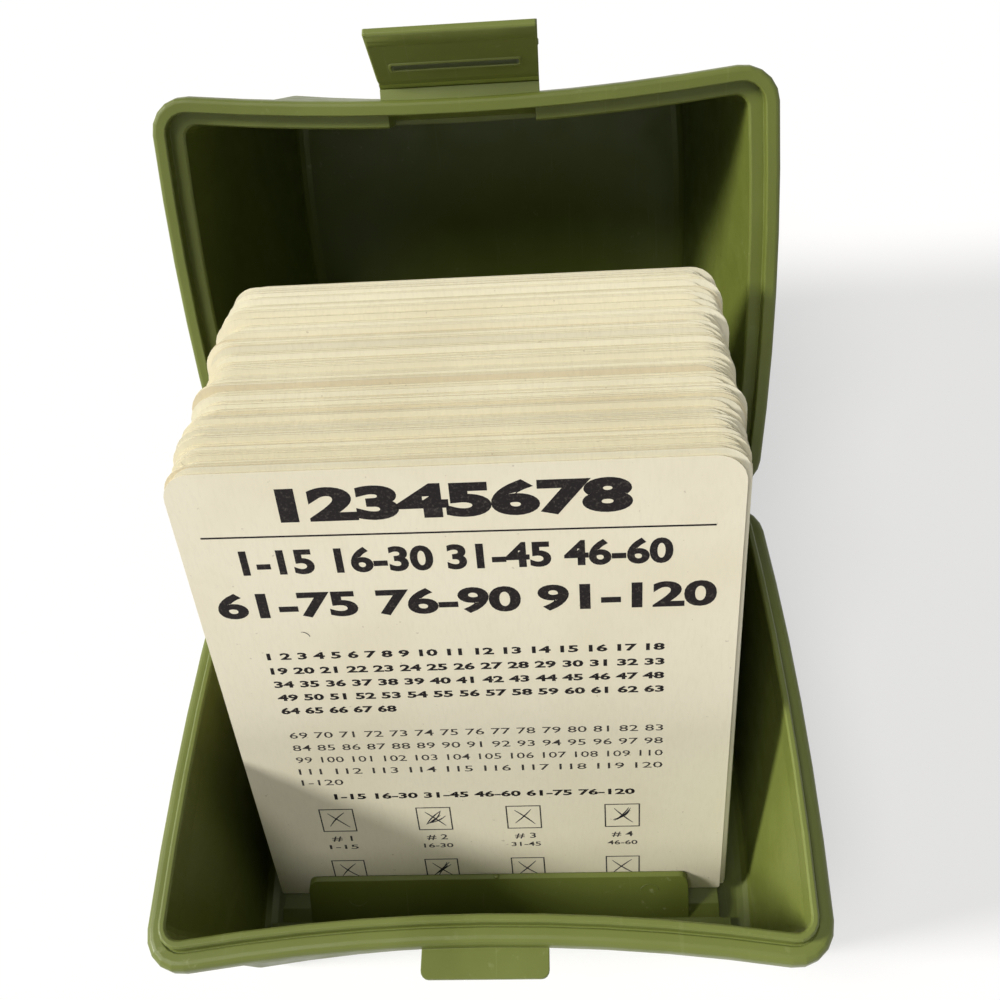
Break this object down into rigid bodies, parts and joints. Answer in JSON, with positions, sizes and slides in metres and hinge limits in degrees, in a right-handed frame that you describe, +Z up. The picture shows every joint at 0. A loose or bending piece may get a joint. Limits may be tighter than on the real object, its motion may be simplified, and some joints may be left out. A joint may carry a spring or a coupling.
{
  "type": "recipe box",
  "caption": "Open clamshell recipe box in moulded plastic with a slotted latch flap, a tongue catch and filing cards leaning on a low card rest.",
  "frame": {"origin": "middle of the base's flat underside, which rests on a table", "axes": "+X to the right as the box is used, +Y to the back, where the hinge is, and +Z up"},
  "size_m": [0.136, 0.2138, 0.1572],
  "materials": {
    "moulded_green": "satin",
    "card_stock": "uncoated"
  },
  "bodies": {
    "base": {"base_tub": "moulded_green", "card_rest": "moulded_green", "lid_hinge_web": "moulded_green"},
    "lid": {"lid_shell": "moulded_green", "latch_hinge_web": "moulded_green"},
    "latch": {"latch_flap": "moulded_green"},
    "card_front": {"front_card": "card_stock"},
    "bundle_1a": {"cards_1a": "card_stock"},
    "bundle_1b": {"cards_1b": "card_stock"},
    "bundle_1c": {"cards_1c": "card_stock"},
    "bundle_2a": {"cards_2a": "card_stock"},
    "bundle_2b": {"cards_2b": "card_stock"},
    "bundle_2c": {"cards_2c": "card_stock"},
    "bundle_3a": {"cards_3a": "card_stock"},
    "bundle_3b": {"cards_3b": "card_stock"},
    "bundle_3c": {"cards_3c": "card_stock"},
    "bundle_4a": {"cards_4a": "card_stock"},
    "bundle_4b": {"cards_4b": "card_stock"},
    "bundle_4c": {"cards_4c": "card_stock"},
    "bundle_5a": {"cards_5a": "card_stock"},
    "bundle_5b": {"cards_5b": "card_stock"},
    "bundle_5c": {"cards_5c": "card_stock"},
    "bundle_6a": {"cards_6a": "card_stock"},
    "bundle_6b": {"cards_6b": "card_stock"},
    "bundle_6c": {"cards_6c": "card_stock"},
    "bundle_7a": {"cards_7a": "card_stock"},
    "bundle_7b": {"cards_7b": "card_stock"},
    "bundle_7c": {"cards_7c": "card_stock"},
    "bundle_8a": {"cards_8a": "card_stock"},
    "bundle_8b": {"cards_8b": "card_stock"},
    "bundle_8c": {"cards_8c": "card_stock"}
  },
  "joints": [
    {"name": "lid_hinge", "type": "hinge", "parent": "base", "child": "lid", "pos_m": [0, 0.05175, 0.05215], "axis": [-1, 0, 0], "range_deg": [-117, 0]},
    {"name": "latch_hinge", "type": "hinge", "parent": "lid", "child": "latch", "pos_m": [0, 0.09934, 0.14148], "axis": [-1, 0, 0], "range_deg": [-45, 90]},
    {"name": "card_front_lean", "type": "hinge", "parent": "base", "child": "card_front", "pos_m": [-0.0013, -0.02667, 0.0113], "axis": [-1, 0, 0], "range_deg": [-11.01, 0]},
    {"name": "bundle_1a_lean", "type": "hinge", "parent": "base", "child": "bundle_1a", "pos_m": [-0.0013, -0.02519, 0.01102], "axis": [-1, 0, 0], "range_deg": [-11.23, 0]},
    {"name": "bundle_1b_lean", "type": "hinge", "parent": "base", "child": "bundle_1b", "pos_m": [-0.0013, -0.0237, 0.01075], "axis": [-1, 0, 0], "range_deg": [-11.85, 0]},
    {"name": "bundle_1c_lean", "type": "hinge", "parent": "base", "child": "bundle_1c", "pos_m": [-0.0013, -0.02221, 0.01047], "axis": [-1, 0, 0], "range_deg": [-12.08, 0]},
    {"name": "bundle_2a_lean", "type": "hinge", "parent": "base", "child": "bundle_2a", "pos_m": [-0.0013, -0.02073, 0.01019], "axis": [-1, 0, 0], "range_deg": [-12.31, 0]},
    {"name": "bundle_2b_lean", "type": "hinge", "parent": "base", "child": "bundle_2b", "pos_m": [-0.0013, -0.01923, 0.00992], "axis": [-1, 0, 0], "range_deg": [-12.83, 0]},
    {"name": "bundle_2c_lean", "type": "hinge", "parent": "base", "child": "bundle_2c", "pos_m": [-0.0013, -0.01774, 0.00964], "axis": [-1, 0, 0], "range_deg": [-13.06, 0]},
    {"name": "bundle_3a_lean", "type": "hinge", "parent": "base", "child": "bundle_3a", "pos_m": [-0.0013, -0.01625, 0.00936], "axis": [-1, 0, 0], "range_deg": [-13.28, 0]},
    {"name": "bundle_3b_lean", "type": "hinge", "parent": "base", "child": "bundle_3b", "pos_m": [-0.0013, -0.01475, 0.00908], "axis": [-1, 0, 0], "range_deg": [-13.61, 0]},
    {"name": "bundle_3c_lean", "type": "hinge", "parent": "base", "child": "bundle_3c", "pos_m": [-0.0013, -0.01325, 0.00881], "axis": [-1, 0, 0], "range_deg": [-13.84, 0]},
    {"name": "bundle_4a_lean", "type": "hinge", "parent": "base", "child": "bundle_4a", "pos_m": [-0.0013, -0.01173, 0.00853], "axis": [-1, 0, 0], "range_deg": [-14.45, 0]},
    {"name": "bundle_4b_lean", "type": "hinge", "parent": "base", "child": "bundle_4b", "pos_m": [-0.0013, -0.01022, 0.00825], "axis": [-1, 0, 0], "range_deg": [-14.68, 0]},
    {"name": "bundle_4c_lean", "type": "hinge", "parent": "base", "child": "bundle_4c", "pos_m": [-0.0013, -0.0087, 0.00797], "axis": [-1, 0, 0], "range_deg": [-15.11, 0]},
    {"name": "bundle_5a_lean", "type": "hinge", "parent": "base", "child": "bundle_5a", "pos_m": [-0.0013, -0.00719, 0.0077], "axis": [-1, 0, 0], "range_deg": [-15.33, 0]},
    {"name": "bundle_5b_lean", "type": "hinge", "parent": "base", "child": "bundle_5b", "pos_m": [-0.0013, -0.00566, 0.00742], "axis": [-1, 0, 0], "range_deg": [-15.66, 0]},
    {"name": "bundle_5c_lean", "type": "hinge", "parent": "base", "child": "bundle_5c", "pos_m": [-0.0013, -0.00413, 0.00714], "axis": [-1, 0, 0], "range_deg": [-16.18, 0]},
    {"name": "bundle_6a_lean", "type": "hinge", "parent": "base", "child": "bundle_6a", "pos_m": [-0.0013, -0.0026, 0.00687], "axis": [-1, 0, 0], "range_deg": [-16.41, 0]},
    {"name": "bundle_6b_lean", "type": "hinge", "parent": "base", "child": "bundle_6b", "pos_m": [-0.0013, -0.00107, 0.00659], "axis": [-1, 0, 0], "range_deg": [-16.63, 0]},
    {"name": "bundle_6c_lean", "type": "hinge", "parent": "base", "child": "bundle_6c", "pos_m": [-0.0013, 0.00047, 0.00631], "axis": [-1, 0, 0], "range_deg": [-16.96, 0]},
    {"name": "bundle_7a_lean", "type": "hinge", "parent": "base", "child": "bundle_7a", "pos_m": [-0.0013, 0.00201, 0.00604], "axis": [-1, 0, 0], "range_deg": [-17.48, 0]},
    {"name": "bundle_7b_lean", "type": "hinge", "parent": "base", "child": "bundle_7b", "pos_m": [-0.0013, 0.00356, 0.00576], "axis": [-1, 0, 0], "range_deg": [-17.71, 0]},
    {"name": "bundle_7c_lean", "type": "hinge", "parent": "base", "child": "bundle_7c", "pos_m": [-0.0013, 0.00512, 0.00548], "axis": [-1, 0, 0], "range_deg": [-18.03, 0]},
    {"name": "bundle_8a_lean", "type": "hinge", "parent": "base", "child": "bundle_8a", "pos_m": [-0.0013, 0.00668, 0.0052], "axis": [-1, 0, 0], "range_deg": [-18.65, 0]},
    {"name": "bundle_8b_lean", "type": "hinge", "parent": "base", "child": "bundle_8b", "pos_m": [-0.0013, 0.00824, 0.00493], "axis": [-1, 0, 0], "range_deg": [-18.88, 0]},
    {"name": "bundle_8c_lean", "type": "hinge", "parent": "base", "child": "bundle_8c", "pos_m": [-0.0013, 0.00981, 0.00465], "axis": [-1, 0, 0], "range_deg": [-19.2, 0]}
  ],
  "couplings": [
    {"joint": "card_front_lean", "follows": "lid_hinge", "ratio": 0.09402},
    {"joint": "bundle_1a_lean", "follows": "lid_hinge", "ratio": 0.09596},
    {"joint": "bundle_1b_lean", "follows": "lid_hinge", "ratio": 0.10125},
    {"joint": "bundle_1c_lean", "follows": "lid_hinge", "ratio": 0.1032},
    {"joint": "bundle_2a_lean", "follows": "lid_hinge", "ratio": 0.10514},
    {"joint": "bundle_2b_lean", "follows": "lid_hinge", "ratio": 0.1096},
    {"joint": "bundle_2c_lean", "follows": "lid_hinge", "ratio": 0.11154},
    {"joint": "bundle_3a_lean", "follows": "lid_hinge", "ratio": 0.11348},
    {"joint": "bundle_3b_lean", "follows": "lid_hinge", "ratio": 0.11626},
    {"joint": "bundle_3c_lean", "follows": "lid_hinge", "ratio": 0.11821},
    {"joint": "bundle_4a_lean", "follows": "lid_hinge", "ratio": 0.1235},
    {"joint": "bundle_4b_lean", "follows": "lid_hinge", "ratio": 0.12544},
    {"joint": "bundle_4c_lean", "follows": "lid_hinge", "ratio": 0.12906},
    {"joint": "bundle_5a_lean", "follows": "lid_hinge", "ratio": 0.131},
    {"joint": "bundle_5b_lean", "follows": "lid_hinge", "ratio": 0.13378},
    {"joint": "bundle_5c_lean", "follows": "lid_hinge", "ratio": 0.13824},
    {"joint": "bundle_6a_lean", "follows": "lid_hinge", "ratio": 0.14018},
    {"joint": "bundle_6b_lean", "follows": "lid_hinge", "ratio": 0.14213},
    {"joint": "bundle_6c_lean", "follows": "lid_hinge", "ratio": 0.14491},
    {"joint": "bundle_7a_lean", "follows": "lid_hinge", "ratio": 0.14936},
    {"joint": "bundle_7b_lean", "follows": "lid_hinge", "ratio": 0.1513},
    {"joint": "bundle_7c_lean", "follows": "lid_hinge", "ratio": 0.15409},
    {"joint": "bundle_8a_lean", "follows": "lid_hinge", "ratio": 0.15938},
    {"joint": "bundle_8b_lean", "follows": "lid_hinge", "ratio": 0.16132},
    {"joint": "bundle_8c_lean", "follows": "lid_hinge", "ratio": 0.1641}
  ]
}
